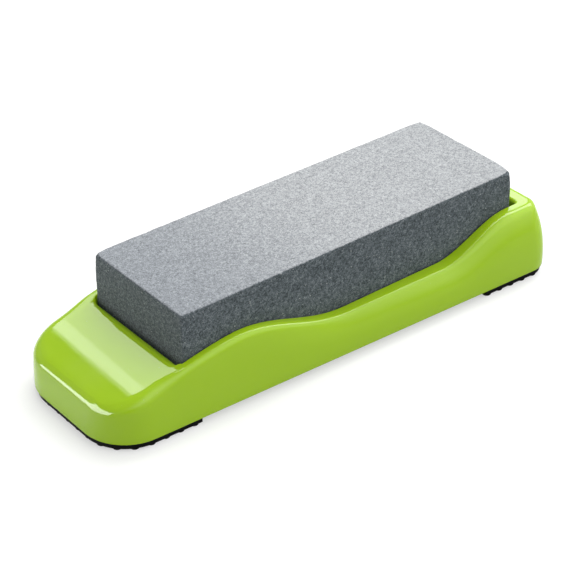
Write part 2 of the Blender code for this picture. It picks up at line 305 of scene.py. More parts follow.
def outer_skin():
    """The closed shape of the moulding before it is hollowed: skirt, deck, rim and pocket."""
    outline = half_outline(0)
    tops = [place for place, way in outline]
    ways = [way for place, way in outline]
    bases = [place for place, way in half_outline(1)]
    radii = [outer_round(place.x, abs(way.y)) for place, way in outline]
    heights = [rim_height(place.x) for place in tops]
    leans = []
    for top, base, way, height in zip(tops, bases, ways, heights):
        leans.append(math.atan((base - top).dot(way) * SKIRT_BULGE / height))
    crowns = [height - radius * (1 - math.sin(lean))
              for height, radius, lean in zip(heights, radii, leans)]

    bm = bmesh.new()
    lower = [base - way * SKIRT_EDGE for base, way in zip(bases, ways)]
    ring = first_ring(bm, whole_ring([raised(place, 0) for place in lower]))
    bm.faces.new(ring)
    for step in range(1, EDGE_STEPS):
        angle = math.pi / 2 * step / EDGE_STEPS
        out = SKIRT_EDGE * math.sin(angle)
        up = SKIRT_EDGE * (1 - math.cos(angle))
        row = [raised(place + way * out, up) for place, way in zip(lower, ways)]
        ring = next_ring(bm, ring, whole_ring(row))
    first_share = [SKIRT_EDGE / crown for crown in crowns]
    for row in skirt_rows(tops, bases, crowns, first_share):
        ring = next_ring(bm, ring, whole_ring(row))

    for step in range(1, ROUND_STEPS + 1):
        row = []
        for top, way, radius, lean in zip(tops, ways, radii, leans):
            angle = between(lean, math.pi / 2, step / ROUND_STEPS)
            flat = top - way * radius * (math.cos(lean) - math.cos(angle))
            share = (step / ROUND_STEPS) ** 2
            height = between(rim_height(top.x), rim_height(flat.x), share)
            row.append(raised(flat, height - radius * (1 - math.sin(angle))))
        ring = next_ring(bm, ring, whole_ring(row))
    rim_edge = row

    pocket = pocket_outline()
    rolls = []
    for place, inward, roll in pocket:
        lean = 0.0
        for _ in range(LEAN_TRIES):
            top_x = place.x - inward.x * roll * (1 + math.sin(lean))
            lean = math.atan(rim_slope(top_x) * inward.x)
        centre = rim_height(top_x) - roll * math.cos(lean)
        rolls.append((place - inward * roll, inward, roll, centre, lean))
    roll_rows = []
    for step in range(LIP_STEPS + 1):
        row = []
        for middle, inward, roll, centre, lean in rolls:
            angle = between(math.pi / 2 + lean, 0.0, step / LIP_STEPS)
            flat = middle + inward * roll * math.cos(angle)
            row.append(raised(flat, centre + roll * math.sin(angle)))
        roll_rows.append(row)
    for step in range(1, DECK_STEPS):
        row = []
        for outer, inner in zip(rim_edge, roll_rows[0]):
            flat = outer.lerp(inner, step / DECK_STEPS)
            row.append(raised(flat, rim_height(flat.x)))
        ring = next_ring(bm, ring, whole_ring(row))
    for row in roll_rows:
        ring = next_ring(bm, ring, whole_ring(row))
    row = [Vector((place.x, place.y, floor_z)) for place, inward, roll in pocket]
    ring = next_ring(bm, ring, whole_ring(row))
    bm.faces.new(ring)
    return bm


def hollow_shape():
    """The space inside the skirt and under the deck, before the tray is taken out of it."""
    outline = half_outline(0, WALL, 0)
    tops = [place for place, way in outline]
    bases = [place for place, way in half_outline(1, WALL, 0)]
    crowns = [rim_height(place.x) - WALL for place in tops]
    bm = bmesh.new()
    ring = first_ring(bm, whole_ring([raised(base, -OVERSHOOT) for base in bases]))
    bm.faces.new(ring)
    for row in skirt_rows(tops, bases, crowns, [0.0] * len(tops)):
        ring = next_ring(bm, ring, whole_ring(row))
    half = len(ring) // 2
    for step in range(half - 1):
        bm.faces.new((ring[step], ring[step + 1], ring[-step - 2], ring[-step - 1]))
    return bm


def as_object(bm, name, material=None):
    """Turn a bmesh into a named object with outward faces."""
    bmesh.ops.recalc_face_normals(bm, faces=bm.faces)
    mesh = bpy.data.meshes.new(name)
    bm.to_mesh(mesh)
    bm.free()
    if material:
        mesh.materials.append(material)
    obj = bpy.data.objects.new(name, mesh)
    bpy.context.scene.collection.objects.link(obj)
    return obj


def worked(obj, steps):
    """Cut or join an object with helper shapes, which are removed afterwards."""
    helpers = []
    for operation, bm in steps:
        helper = as_object(bm, f"{obj.name}_helper_{len(helpers)}")
        modifier = obj.modifiers.new(helper.name, "BOOLEAN")
        modifier.object = helper
        modifier.operation = operation
        modifier.solver = "EXACT"
        helpers.append(helper)
    graph = bpy.context.evaluated_depsgraph_get()
    mesh = bpy.data.meshes.new_from_object(obj.evaluated_get(graph))
    obj.modifiers.clear()
    old = obj.data
    mesh.name = obj.name
    obj.data = mesh
    bpy.data.meshes.remove(old)
    for helper in helpers:
        bpy.data.meshes.remove(helper.data)
    return obj


def add_box(bm, low, high):
    low = Vector(low)
    high = Vector(high)
    matrix = Matrix.Translation((low + high) / 2) @ Matrix.Diagonal((*(high - low), 1))
    bmesh.ops.create_cube(bm, size=1, matrix=matrix)


def add_post(bm, place, bottom, top, radius, tip_radius, sides):
    height = top - bottom
    matrix = Matrix.Translation((place[0], place[1], bottom + height / 2))
    return bmesh.ops.create_cone(bm, cap_ends=True, segments=sides, radius1=radius,
                                 radius2=tip_radius, depth=height, matrix=matrix)["verts"]


def tray_block():
    bm = bmesh.new()
    half = pocket_half + WALL
    top = holder_high.z + OVERSHOOT
    low = (pocket_nose - WALL, -half, floor_z - FLOOR_THICKNESS)
    add_box(bm, low, (pocket_heel + WALL, half, top))
    return bm


def cross_ribs():
    bm = bmesh.new()
    low = floor_z - FLOOR_THICKNESS - RIB_DEPTH
    reach = pocket_half + WALL / 2
    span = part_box("heel_foot")[0].x - stone_low.x
    for index in range(CROSS_RIB_COUNT):
        x = stone_low.x + span * (index + 0.5) / CROSS_RIB_COUNT
        half = RIB_THICKNESS / 2
        add_box(bm, (x - half, -reach, low), (x + half, reach, floor_z))
    return bm


def long_ribs():
    bm = bmesh.new()
    low = floor_z - FLOOR_THICKNESS - RIB_DEPTH
    half = RIB_THICKNESS / 2
    for y in (-LONG_RIB_OFFSET, LONG_RIB_OFFSET):
        near = (pocket_nose - WALL / 2, y - half, low)
        add_box(bm, near, (pocket_heel + WALL / 2, y + half, floor_z))
    return bm


def peg_places():
    nose_x = holder_low.x + NOSE_PEG_PLACE
    heel_x = holder_high.x - HEEL_PEG_PLACE
    return [(x, side * PEG_OFFSET) for x in (nose_x, heel_x) for side in (-1, 1)]


def boss_posts():
    bm = bmesh.new()
    radius = PEG_RADIUS + PEG_CLEARANCE + BOSS_WALL
    for place in peg_places():
        add_post(bm, place, skirt_z, holder_high.z + OVERSHOOT, radius, radius, PEG_SIDES)
    return bm


def peg_bores():
    bm = bmesh.new()
    radius = PEG_RADIUS + PEG_CLEARANCE
    top = skirt_z + PEG_LENGTH + BORE_SPARE
    for place in peg_places():
        add_post(bm, place, skirt_z - OVERSHOOT, top, radius, radius, PEG_SIDES)
    return bm


MOULDED_SHARP = math.radians(32)


def shade(obj, sharp_angle):
    """Shade smoothly, but keep an edge that turns more than the angle."""
    obj.data.shade_smooth()
    obj.data.set_sharp_from_angle(angle=sharp_angle)


def new_material(name):
    material = bpy.data.materials.new(name)
    material.use_nodes = True
    return material, material.node_tree, material.node_tree.nodes["Principled BSDF"]


def add_node(tree, kind, **values):
    """Add a node and set its own settings, or its inputs by name."""
    node = tree.nodes.new(kind)
    for name, value in values.items():
        if hasattr(node, name):
            setattr(node, name, value)
        else:
            node.inputs[name.replace("_", " ")].default_value = value
    return node


# Sockets of a Mix node that share their names with sockets of its other kinds
NUMBER_A = 2
NUMBER_B = 3
NUMBER_OUT = 0
COLOUR_A = 6
COLOUR_B = 7
COLOUR_OUT = 2


def new_group(name, inputs, outputs):
    """Start a shader group; inputs and outputs map socket names to socket kinds."""
    tree = bpy.data.node_groups.new(name, "ShaderNodeTree")
    for socket, (kind, value) in inputs.items():
        made = tree.interface.new_socket(socket, in_out="INPUT", socket_type=kind)
        if value is not None:
            made.default_value = value
    for socket in outputs:
        tree.interface.new_socket(socket, in_out="OUTPUT", socket_type="NodeSocketFloat")
    return tree, tree.nodes.new("NodeGroupInput"), tree.nodes.new("NodeGroupOutput")


def build_moulded_skin():
    """Slow waves and fine pitting that a mould leaves on plastic and rubber."""
    tree, given, made = new_group(
        "moulded_skin",
        {"Place": ("NodeSocketVector", None), "Wave Scale": ("NodeSocketFloat", 200.0),
         "Pit Scale": ("NodeSocketFloat", 2500.0), "Pit Share": ("NodeSocketFloat", 0.2)},
        ("Height", "Pits"))
    wave = add_node(tree, "ShaderNodeTexNoise", Detail=1.0, Roughness=0.4)
    pits = add_node(tree, "ShaderNodeTexNoise", Detail=2.0, Roughness=0.6)
    mix = add_node(tree, "ShaderNodeMix", data_type="FLOAT")
    link = tree.links.new
    link(given.outputs["Place"], wave.inputs["Vector"])
    link(given.outputs["Place"], pits.inputs["Vector"])
    link(given.outputs["Wave Scale"], wave.inputs["Scale"])
    link(given.outputs["Pit Scale"], pits.inputs["Scale"])
    link(given.outputs["Pit Share"], mix.inputs[0])
    link(wave.outputs["Fac"], mix.inputs[NUMBER_A])
    link(pits.outputs["Fac"], mix.inputs[NUMBER_B])
    link(mix.outputs[NUMBER_OUT], made.inputs["Height"])
    link(pits.outputs["Fac"], made.inputs["Pits"])
    return tree


def build_settled_dust():
    """Sparse specks and a faint film that lie on faces turned upward."""
    tree, given, made = new_group(
        "settled_dust",
        {"Place": ("NodeSocketVector", None), "Facing": ("NodeSocketVector", None),
         "Speck Scale": ("NodeSocketFloat", 600.0), "Film": ("NodeSocketFloat", 0.2)},
        ("Mask",))
    specks = add_node(tree, "ShaderNodeTexVoronoi", feature="F1")
    speck_size = add_node(tree, "ShaderNodeMapRange", From_Min=0.07, From_Max=0.03, To_Max=0.5)
    patches = add_node(tree, "ShaderNodeTexNoise", Scale=60.0, Detail=3.0)
    patch_edge = add_node(tree, "ShaderNodeMapRange", From_Min=0.45, From_Max=0.7)
    film = add_node(tree, "ShaderNodeMath", operation="MULTIPLY")
    both = add_node(tree, "ShaderNodeMath", operation="MAXIMUM")
    split = add_node(tree, "ShaderNodeSeparateXYZ")
    upward = add_node(tree, "ShaderNodeMapRange", From_Min=0.2, From_Max=0.9)
    mask = add_node(tree, "ShaderNodeMath", operation="MULTIPLY")
    link = tree.links.new
    link(given.outputs["Place"], specks.inputs["Vector"])
    link(given.outputs["Speck Scale"], specks.inputs["Scale"])
    link(specks.outputs["Distance"], speck_size.inputs["Value"])
    link(given.outputs["Place"], patches.inputs["Vector"])
    link(patches.outputs["Fac"], patch_edge.inputs["Value"])
    link(patch_edge.outputs["Result"], film.inputs[0])
    link(given.outputs["Film"], film.inputs[1])
    link(speck_size.outputs["Result"], both.inputs[0])
    link(film.outputs["Value"], both.inputs[1])
    link(given.outputs["Facing"], split.inputs["Vector"])
    link(split.outputs["Z"], upward.inputs["Value"])
    link(both.outputs["Value"], mask.inputs[0])
    link(upward.outputs["Result"], mask.inputs[1])
    link(mask.outputs["Value"], made.inputs["Mask"])
    return tree


moulded_skin = build_moulded_skin()
settled_dust = build_settled_dust()

LIME = (0.345, 0.552, 0.008, 1.0)
LIME_DEEP = (0.318, 0.520, 0.006, 1.0)
PLASTIC_DUST = (0.46, 0.58, 0.18, 1.0)
PLASTIC_IOR = 1.5
SCATTER_SHARE = 0.2
SCATTER_COLOURS = (0.8, 1.0, 0.15)
SCATTER_DEPTH = 0.0025
DUST_DULLS = 0.4


def green_plastic():
    """Glossy moulded plastic: slightly wavy, with a trace of dust and handling marks."""
    material, tree, shader = new_material("green_plastic")
    shader.inputs["IOR"].default_value = PLASTIC_IOR
    shader.inputs["Subsurface Weight"].default_value = SCATTER_SHARE
    shader.inputs["Subsurface Radius"].default_value = SCATTER_COLOURS
    shader.inputs["Subsurface Scale"].default_value = SCATTER_DEPTH
    place = add_node(tree, "ShaderNodeTexCoord")
    facing = add_node(tree, "ShaderNodeNewGeometry")
    skin = add_node(tree, "ShaderNodeGroup", node_tree=moulded_skin)
    skin.inputs["Wave Scale"].default_value = 140.0
    skin.inputs["Pit Scale"].default_value = 1800.0
    skin.inputs["Pit Share"].default_value = 0.06
    dust = add_node(tree, "ShaderNodeGroup", node_tree=settled_dust)
    dust.inputs["Speck Scale"].default_value = 260.0
    dust.inputs["Film"].default_value = 0.05
    flow = add_node(tree, "ShaderNodeTexNoise", Scale=22.0, Detail=2.0)
    colour = add_node(tree, "ShaderNodeMix", data_type="RGBA")
    colour.inputs[COLOUR_A].default_value = LIME
    colour.inputs[COLOUR_B].default_value = LIME_DEEP
    dusty = add_node(tree, "ShaderNodeMix", data_type="RGBA")
    dusty.inputs[COLOUR_B].default_value = PLASTIC_DUST
    smears = add_node(tree, "ShaderNodeTexNoise", Scale=75.0, Detail=4.0, Distortion=1.2)
    gloss = add_node(tree, "ShaderNodeMapRange", From_Min=0.35, From_Max=0.75, To_Min=0.03,
                     To_Max=0.055)
    dulled = add_node(tree, "ShaderNodeMath", operation="MULTIPLY_ADD")
    dulled.inputs[1].default_value = DUST_DULLS
    bump = add_node(tree, "ShaderNodeBump", Strength=0.4, Distance=0.000018)
    link = tree.links.new
    for texture in (skin, dust):
        link(place.outputs["Object"], texture.inputs["Place"])
    for texture in (flow, smears):
        link(place.outputs["Object"], texture.inputs["Vector"])
    link(facing.outputs["Normal"], dust.inputs["Facing"])
    link(flow.outputs["Fac"], colour.inputs[0])
    link(colour.outputs[COLOUR_OUT], dusty.inputs[COLOUR_A])
    link(dust.outputs["Mask"], dusty.inputs[0])
    link(dusty.outputs[COLOUR_OUT], shader.inputs["Base Color"])
    link(smears.outputs["Fac"], gloss.inputs["Value"])
    link(dust.outputs["Mask"], dulled.inputs[0])
    link(gloss.outputs["Result"], dulled.inputs[2])
    link(dulled.outputs["Value"], shader.inputs["Roughness"])
    link(skin.outputs["Height"], bump.inputs["Height"])
    link(bump.outputs["Normal"], shader.inputs["Normal"])
    return material


hollow = worked(as_object(hollow_shape(), "hollow"), [
    ("DIFFERENCE", tray_block()), ("DIFFERENCE", cross_ribs()),
    ("DIFFERENCE", long_ribs()), ("DIFFERENCE", boss_posts())])
hollow_bm = bmesh.new()
hollow_bm.from_mesh(hollow.data)
bpy.data.meshes.remove(hollow.data)
holder = as_object(outer_skin(), "holder_moulding", green_plastic())
worked(holder, [("DIFFERENCE", hollow_bm), ("DIFFERENCE", peg_bores())])
shade(holder, MOULDED_SHARP)
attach(holder, "holder")
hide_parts("holder")

# ---------------------------------------------------------------------------
# Feet
# Two soft black rubber mouldings, one under the nose and one under the heel. Each is a thin
# plate with rows of short round studs below it and two pegs pressed up into the holder.
# ---------------------------------------------------------------------------
FOOT_INSET = 0.0008
FOOT_EDGE = 0.0003
SEAT_GAP = 0.00005
STUD_RADIUS = 0.0020
STUD_TIP_RADIUS = 0.0017
STUD_HEIGHT = 0.0009
STUD_PITCH = 0.0057
STUD_EDGE = 0.0021
STUD_ROUND = 0.0003
STUD_SIDES = 14
STUD_EDGE_STEPS = 2
LENGTH_SPARE = 0.00003


def foot_half(inset, end, cut):
    """One side of a foot's plan, from the middle of the rounded end to the straight cut."""
    points = [place for place, way in half_outline(1, inset, 0)]
    if end > 0:
        points.reverse()
    kept = [place for place in points if (place.x - cut) * end > 0]
    beyond = points[len(kept)]
    last = kept[-1]
    kept.append(last.lerp(beyond, (cut - last.x) / (beyond.x - last.x)))
    return kept


def spaced(points, pitch):
    """Places at an even spacing along a line of points, with one at each end."""
    lengths = [(b - a).length for a, b in zip(points, points[1:])]
    count = max(round(sum(lengths) / pitch), 1)
    step = sum(lengths) / count
    places = [points[0]]
    walked = 0.0
    for a, b, length in zip(points, points[1:], lengths):
        while len(places) * step <= walked + length + LENGTH_SPARE and len(places) <= count:
            share = (len(places) * step - walked) / length
            places.append(a.lerp(b, min(share, 1.0)))
        walked += length
    return places


def stud_places(end, cut):
    """Studs in rows that follow the rounded end, one row inside the next."""
    places = []
    inset = FOOT_INSET + STUD_EDGE
    last = cut + end * STUD_EDGE
    reach = abs(holder_high.x - abs(last)) - inset
    while inset < pocket_half + RIM_AT_NOSE and reach > STUD_RADIUS:
        side = foot_half(inset, end, last)
        row = [Vector((place.x, -place.y)) for place in reversed(side)] + side
        places.extend(spaced(row, STUD_PITCH))
        inset += STUD_PITCH
        reach -= STUD_PITCH
    return places


def foot_plate(end, cut, low, high):
    """The plate: its lower outer edge is slightly rounded."""
    bm = bmesh.new()
    ring = None
    rows = []
    for step in range(EDGE_STEPS):
        angle = math.pi / 2 * step / (EDGE_STEPS - 1)
        rows.append((FOOT_EDGE * (1 - math.sin(angle)), low + FOOT_EDGE * (1 - math.cos(angle))))
    rows.append((0.0, high))
    for inset, z in rows:
        side = foot_half(FOOT_INSET + inset, end, cut + end * inset)
        places = whole_ring([Vector((place.x, place.y, z)) for place in side])
        if ring is None:
            ring = first_ring(bm, places)
            bm.faces.new(ring)
        else:
            ring = next_ring(bm, ring, places)
    bm.faces.new(ring)
    return bm


def studs(end, cut, plate_low, sink):
    bm = bmesh.new()
    for place in stud_places(end, cut):
        add_post(bm, place, 0.0, plate_low + sink, STUD_TIP_RADIUS, STUD_RADIUS, STUD_SIDES)
    tips = [edge for edge in bm.edges if all(vert.co.z < STUD_ROUND for vert in edge.verts)]
    bmesh.ops.bevel(bm, geom=tips, offset=STUD_ROUND, affect="EDGES", segments=STUD_EDGE_STEPS,
                    profile=0.5, material=-1)
    return bm


def pegs(end, low):
    bm = bmesh.new()
    high = skirt_z + PEG_LENGTH - PEG_CLEARANCE
    for place in peg_places():
        if place[0] * end > 0:
            add_post(bm, place, low, high, PEG_RADIUS, PEG_RADIUS, PEG_SIDES)
    return bm


RUBBER = (0.003, 0.003, 0.003, 1.0)
RUBBER_BLOOM = (0.009, 0.009, 0.008, 1.0)
RUBBER_SHINE = 0.08


def black_rubber():
    """Matt moulded rubber with a fine sparked texture and a greyish bloom."""
    material, tree, shader = new_material("black_rubber")
    shader.inputs["Specular IOR Level"].default_value = RUBBER_SHINE
    place = add_node(tree, "ShaderNodeTexCoord")
    facing = add_node(tree, "ShaderNodeNewGeometry")
    skin = add_node(tree, "ShaderNodeGroup", node_tree=moulded_skin)
    skin.inputs["Wave Scale"].default_value = 400.0
    skin.inputs["Pit Scale"].default_value = 5000.0
    skin.inputs["Pit Share"].default_value = 0.7
    dust = add_node(tree, "ShaderNodeGroup", node_tree=settled_dust)
    dust.inputs["Speck Scale"].default_value = 900.0
    dust.inputs["Film"].default_value = 0.2
    bloom = add_node(tree, "ShaderNodeTexNoise", Scale=180.0, Detail=4.0)
    bloom_edge = add_node(tree, "ShaderNodeMapRange", From_Min=0.4, From_Max=0.8, To_Max=0.5)
    most = add_node(tree, "ShaderNodeMath", operation="MAXIMUM")
    colour = add_node(tree, "ShaderNodeMix", data_type="RGBA")
    colour.inputs[COLOUR_A].default_value = RUBBER
    colour.inputs[COLOUR_B].default_value = RUBBER_BLOOM
    rough = add_node(tree, "ShaderNodeMapRange", From_Min=0.3, From_Max=0.7, To_Min=0.5,
                     To_Max=0.75)
    bump = add_node(tree, "ShaderNodeBump", Strength=0.6, Distance=0.00005)
    link = tree.links.new
    for texture in (skin, dust):
        link(place.outputs["Object"], texture.inputs["Place"])
    link(place.outputs["Object"], bloom.inputs["Vector"])
    link(facing.outputs["Normal"], dust.inputs["Facing"])
    link(bloom.outputs["Fac"], bloom_edge.inputs["Value"])
    link(bloom_edge.outputs["Result"], most.inputs[0])
    link(dust.outputs["Mask"], most.inputs[1])
    link(most.outputs["Value"], colour.inputs[0])
    link(colour.outputs[COLOUR_OUT], shader.inputs["Base Color"])
    link(skin.outputs["Pits"], rough.inputs["Value"])
    link(rough.outputs["Result"], shader.inputs["Roughness"])
    link(skin.outputs["Height"], bump.inputs["Height"])
    link(bump.outputs["Normal"], shader.inputs["Normal"])
    return material


rubber = black_rubber()
for node, end in (("nose_foot", -1), ("heel_foot", 1)):
    low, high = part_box(node)
    cut = high.x if end < 0 else low.x
    plate_low = low.z + STUD_HEIGHT
    plate_high = skirt_z - SEAT_GAP
    sink = (plate_high - plate_low) / 2
    foot = as_object(foot_plate(end, cut, plate_low, plate_high), f"{node}_rubber", rubber)
    worked(foot, [("UNION", studs(end, cut, plate_low, sink)),
                  ("UNION", pegs(end, plate_high - sink))])
    shade(foot, MOULDED_SHARP)
    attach(foot, "holder")
    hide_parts(node)

# ---------------------------------------------------------------------------
# Stone
# One block of bonded grey grit, pressed and fired, lying loose in the tray. The working face
# has been dressed flat and pale, and the edges are lightly chipped, most at two top corners.
# ---------------------------------------------------------------------------
LINES_ALONG = 230
LINES_ACROSS = 64
LINES_UP = 44
CROWD_ALONG = 0.60
CROWD_ACROSS = 0.86
EDGE_LEAST = 0.00030
EDGE_VARIES = 0.00035
EDGE_WAVE = 0.0048
CHIP_DEPTH = 0.00075
CHIP_SIZE = 0.0016
CHIP_SHIFT = Vector((7, 3, 1))
CHIP_START = 0.25
RAGGED = 0.00010
RAGGED_SIZE = 0.0011
WORN_REACH = 0.0038
STONE_SHARP = math.radians(60)

# Top corners that are rubbed away, and how deep
worn_corners = [
    (Vector((stone_high.x, stone_low.y, stone_high.z)), 0.0018),
    (Vector((stone_low.x, stone_high.y, stone_high.z)), 0.0010),
    (Vector((stone_low.x, stone_low.y, stone_high.z)), 0.0005),
    (Vector((stone_high.x, stone_high.y, stone_high.z)), 0.0007)]


def crowd(value, low, high, amount):
    """Move a line of the grid toward the nearer end of its range."""
    share = (value - low) / (high - low)
    return low + (high - low) * (share - amount * math.sin(math.tau * share) / math.tau)


def edge_radius(place):
    """Rounding of an edge at a place: a little everywhere, more at chips and rubbed corners."""
    slow = (noise.noise(place / EDGE_WAVE) + 1) / 2
    chip = max(noise.noise(place / CHIP_SIZE + CHIP_SHIFT) - CHIP_START, 0.0)
    radius = EDGE_LEAST + EDGE_VARIES * slow + CHIP_DEPTH * chip
    for corner, depth in worn_corners:
        radius += depth * math.exp(-((place - corner).length / WORN_REACH) ** 2)
    return radius


def stone_block():
    """A fine grid over the block, its lines crowded toward the edges, then rounded and chipped."""
    bm = bmesh.new()
    add_box(bm, stone_low, stone_high)
    for axis, lines in ((0, LINES_ALONG), (1, LINES_ACROSS), (2, LINES_UP)):
        edges = [edge for edge in bm.edges
                 if abs(edge.verts[0].co[axis] - edge.verts[1].co[axis]) > SIDE_GAP]
        bmesh.ops.subdivide_edges(bm, edges=edges, cuts=lines - 1, use_grid_fill=True)
    amounts = (CROWD_ALONG, CROWD_ACROSS, CROWD_ACROSS)
    for vert in bm.verts:
        place = Vector([crowd(vert.co[axis], stone_low[axis], stone_high[axis], amounts[axis])
                        for axis in range(3)])
        radius = edge_radius(place)
        core = Vector([min(max(place[axis], stone_low[axis] + radius), stone_high[axis] - radius)
                       for axis in range(3)])
        out = place - core
        near_edge = sum(abs(value) > radius / 2 for value in out) > 1
        place = core + out.normalized() * radius
        if near_edge:
            place -= out.normalized() * RAGGED * (noise.noise(place / RAGGED_SIZE) + 1)
        vert.co = place
    return bm


GRIT = (0.086, 0.103, 0.113, 1.0)
GRIT_DARK = (0.022, 0.029, 0.033, 1.0)
GRIT_LIGHT = (0.22, 0.25, 0.27, 1.0)
DRESSED = (0.352, 0.365, 0.377, 1.0)
DRESSED_DARK = (0.165, 0.174, 0.187, 1.0)
DRESSED_LIGHT = (0.56, 0.58, 0.59, 1.0)
# Painted shade: the dressed face is darkened toward the nose end, standing in for the weaker light
# there
PAINTED_NOSE_SHADE = (0.62, 0.65, 0.69, 1.0)
PAINTED_SHADE_REACH = 0.09
PAINTED_SHADE_STRENGTH = 0.8
CRYSTAL = (0.46, 0.48, 0.48, 1.0)
CLOUD_SHARE = 0.32
DRESSED_DEPTH = 0.00045
DRESSED_SOFTNESS = 0.2
STONE_SHINE = 0.25


def build_grit_speckle():
    """Random tones of packed grains, and a sparse mask of bright crystals."""
    tree, given, made = new_group(
        "grit_speckle",
        {"Place": ("NodeSocketVector", None), "Grain Scale": ("NodeSocketFloat", 2400.0),
         "Cloud Scale": ("NodeSocketFloat", 300.0)},
        ("Tone", "Crystals", "Height"))
    grains = add_node(tree, "ShaderNodeTexNoise", Detail=3.0, Roughness=0.75)
    clouds = add_node(tree, "ShaderNodeTexNoise", Detail=4.0, Roughness=0.6)
    mix = add_node(tree, "ShaderNodeMix", data_type="FLOAT")
    mix.inputs[0].default_value = CLOUD_SHARE
    spread = add_node(tree, "ShaderNodeMapRange", From_Min=0.36, From_Max=0.64)
    cells = add_node(tree, "ShaderNodeTexVoronoi", feature="F1")
    split = add_node(tree, "ShaderNodeSeparateColor")
    rare = add_node(tree, "ShaderNodeMapRange", From_Min=0.990, From_Max=0.996)
    size = add_node(tree, "ShaderNodeMapRange", From_Min=0.55, From_Max=0.35)
    crystal = add_node(tree, "ShaderNodeMath", operation="MULTIPLY")
    link = tree.links.new
    link(given.outputs["Place"], grains.inputs["Vector"])
    link(given.outputs["Grain Scale"], grains.inputs["Scale"])
    link(given.outputs["Place"], clouds.inputs["Vector"])
    link(given.outputs["Cloud Scale"], clouds.inputs["Scale"])
    link(grains.outputs["Fac"], mix.inputs[NUMBER_A])
    link(clouds.outputs["Fac"], mix.inputs[NUMBER_B])
    link(mix.outputs[NUMBER_OUT], spread.inputs["Value"])
    link(spread.outputs["Result"], made.inputs["Tone"])
    link(given.outputs["Place"], cells.inputs["Vector"])
    link(given.outputs["Grain Scale"], cells.inputs["Scale"])
    link(cells.outputs["Color"], split.inputs["Color"])
    link(split.outputs["Red"], rare.inputs["Value"])
    link(cells.outputs["Distance"], size.inputs["Value"])
    link(rare.outputs["Result"], crystal.inputs[0])
    link(size.outputs["Result"], crystal.inputs[1])
    link(crystal.outputs["Value"], made.inputs["Crystals"])
    link(grains.outputs["Fac"], made.inputs["Height"])
    return tree


grit_speckle = build_grit_speckle()


def tone_ramp(tree, dark, middle, light):
    ramp = add_node(tree, "ShaderNodeValToRGB")
    ramp.color_ramp.elements[0].color = dark
    ramp.color_ramp.elements[1].color = light
    ramp.color_ramp.elements.new(0.5).color = middle
    return ramp


def grey_abrasive():
    """Bonded grit: speckled dark sides, and a paler dressed face darkened by painted shade at one
    end.
    """
    material, tree, shader = new_material("grey_abrasive")
    shader.inputs["Specular IOR Level"].default_value = STONE_SHINE
    place = add_node(tree, "ShaderNodeTexCoord")
    split = add_node(tree, "ShaderNodeSeparateXYZ")
    speckle = add_node(tree, "ShaderNodeGroup", node_tree=grit_speckle)
    speckle.inputs["Grain Scale"].default_value = 2300.0
    speckle.inputs["Cloud Scale"].default_value = 900.0
    side_tone = tone_ramp(tree, GRIT_DARK, GRIT, GRIT_LIGHT)
    top_tone = tone_ramp(tree, DRESSED_DARK, DRESSED, DRESSED_LIGHT)
    # Painted shade: darken the dressed face toward the nose end
    nose_shade = add_node(tree, "ShaderNodeMapRange", interpolation_type="SMOOTHSTEP",
                    To_Min=PAINTED_SHADE_STRENGTH, To_Max=0.0)
    nose_shade.inputs["From Min"].default_value = stone_low.x
    nose_shade.inputs["From Max"].default_value = stone_low.x + PAINTED_SHADE_REACH
    shaded_top = add_node(tree, "ShaderNodeMix", data_type="RGBA", blend_type="MULTIPLY")
    shaded_top.inputs[COLOUR_B].default_value = PAINTED_NOSE_SHADE
    edge = add_node(tree, "ShaderNodeTexNoise", Scale=1500.0, Detail=3.0)
    level = add_node(tree, "ShaderNodeMath", operation="MULTIPLY_ADD")
    level.inputs[1].default_value = DRESSED_DEPTH
    dressed = add_node(tree, "ShaderNodeMapRange")
    dressed.inputs["From Min"].default_value = stone_high.z - DRESSED_DEPTH * DRESSED_SOFTNESS
    dressed.inputs["From Max"].default_value = stone_high.z + DRESSED_DEPTH * DRESSED_SOFTNESS
    colour = add_node(tree, "ShaderNodeMix", data_type="RGBA")
    bright = add_node(tree, "ShaderNodeMix", data_type="RGBA")
    bright.inputs[COLOUR_B].default_value = CRYSTAL
    rough = add_node(tree, "ShaderNodeMapRange", To_Min=0.95, To_Max=0.75)
    bump = add_node(tree, "ShaderNodeBump", Strength=0.7, Distance=0.00012)
    link = tree.links.new
    link(place.outputs["Object"], speckle.inputs["Place"])
    link(place.outputs["Object"], edge.inputs["Vector"])
    link(place.outputs["Object"], split.inputs["Vector"])
    link(edge.outputs["Fac"], level.inputs[0])
    link(split.outputs["Z"], level.inputs[2])
    link(level.outputs["Value"], dressed.inputs["Value"])
    link(speckle.outputs["Tone"], side_tone.inputs["Fac"])
    link(speckle.outputs["Tone"], top_tone.inputs["Fac"])
    link(dressed.outputs["Result"], colour.inputs[0])
    link(side_tone.outputs["Color"], colour.inputs[COLOUR_A])
    link(split.outputs["X"], nose_shade.inputs["Value"])
    link(nose_shade.outputs["Result"], shaded_top.inputs[0])
    link(top_tone.outputs["Color"], shaded_top.inputs[COLOUR_A])
    link(shaded_top.outputs[COLOUR_OUT], colour.inputs[COLOUR_B])
    link(colour.outputs[COLOUR_OUT], bright.inputs[COLOUR_A])
    link(speckle.outputs["Crystals"], bright.inputs[0])
    link(bright.outputs[COLOUR_OUT], shader.inputs["Base Color"])
    link(speckle.outputs["Crystals"], rough.inputs["Value"])
    link(rough.outputs["Result"], shader.inputs["Roughness"])
    link(speckle.outputs["Height"], bump.inputs["Height"])
    link(bump.outputs["Normal"], shader.inputs["Normal"])
    return material


stone = as_object(stone_block(), "stone_block", grey_abrasive())
shade(stone, STONE_SHARP)
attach(stone, "stone")
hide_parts("whetstone")

# ---------------------------------------------------------------------------
# Bench
# A plain matt table top under the whole set, large enough to fill every view. It looks white,
# but the near half throws back less light than the far half, as if it held a grey card.
# ---------------------------------------------------------------------------
BENCH_HALF = 3.0
BENCH_SEEN = (0.50, 0.50, 0.50, 1.0)
BENCH_GLOW = 0.50
BENCH_BOUNCE_NEAR = 0.50
BENCH_BOUNCE_FAR = 1.0
BENCH_CARD = 0.040

